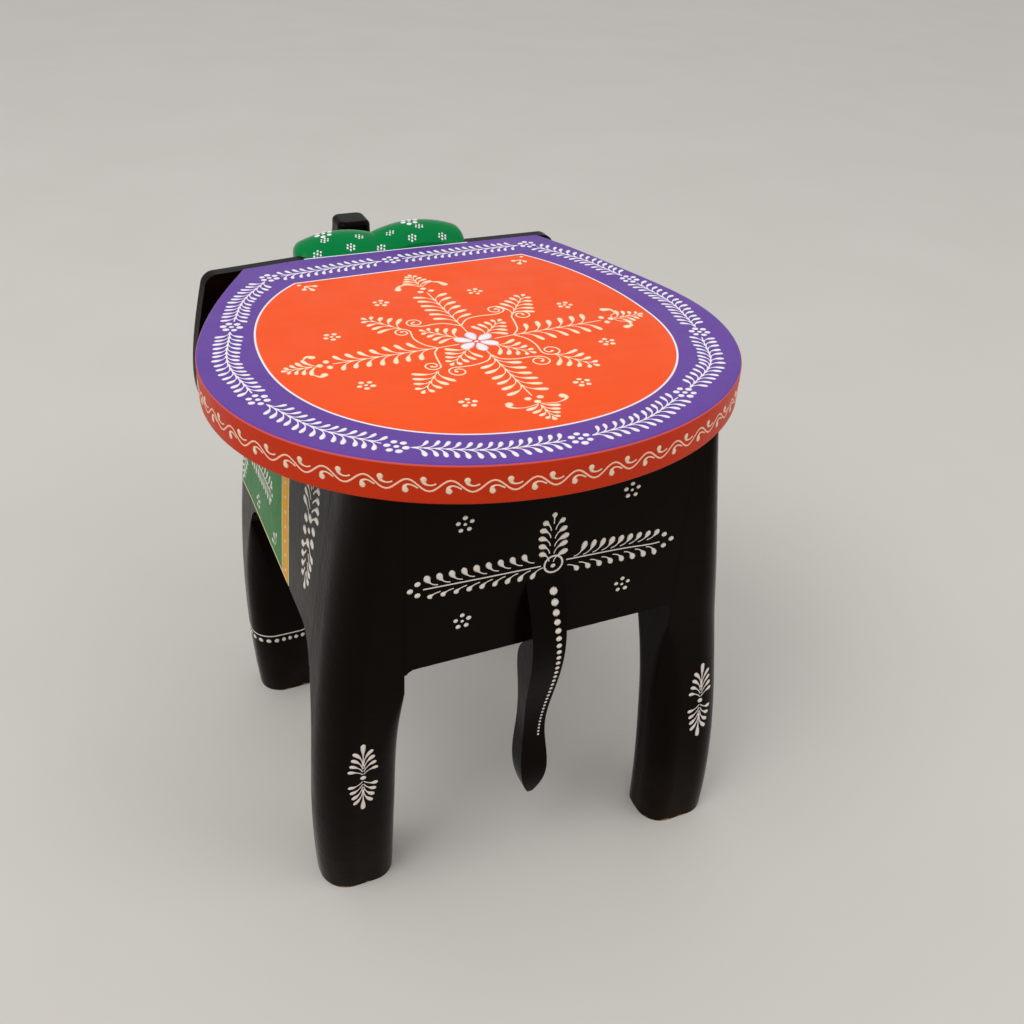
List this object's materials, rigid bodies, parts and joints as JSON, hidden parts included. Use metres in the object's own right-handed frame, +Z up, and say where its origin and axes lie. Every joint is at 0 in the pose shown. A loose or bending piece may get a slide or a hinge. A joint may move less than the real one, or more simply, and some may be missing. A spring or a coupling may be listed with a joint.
{
  "type": "elephant stool",
  "caption": "Low carved wooden stool in the shape of an elephant, with a round painted seat, raised trunk, ears, tusks and tail.",
  "frame": {"origin": "on the floor, under the middle of the whole stool", "axes": "+Z up; the elephant faces -Y, its tail is at +Y and its left side at +X"},
  "size_m": [0.306, 0.3838, 0.317],
  "materials": {
    "seat": "glossy orange paint with a purple border",
    "body": "glossy black lacquer",
    "side_cloth": "glossy green and black paint",
    "head": "glossy green and black paint",
    "cream_paint": "cream paint",
    "dowels": "bare wood"
  },
  "bodies": {
    "root": {"seat": "seat", "rear_board": "body", "chest_board": "body", "left_side_board": "side_cloth", "right_side_board": "side_cloth", "rear_left_leg": "body", "rear_right_leg": "body", "front_left_leg": "body", "front_right_leg": "body", "head": "head", "left_ear": "body", "right_ear": "body", "trunk": "body", "left_tusk": "cream_paint", "right_tusk": "cream_paint", "tail": "body", "seat_dowels": "dowels", "rear_board_dowels": "dowels", "chest_board_dowels": "dowels", "side_board_dowels": "dowels", "head_dowels": "dowels", "ear_dowels": "dowels", "trunk_dowel": "dowels", "tusk_dowels": "dowels", "tail_dowel": "dowels"}
  },
  "joints": []
}
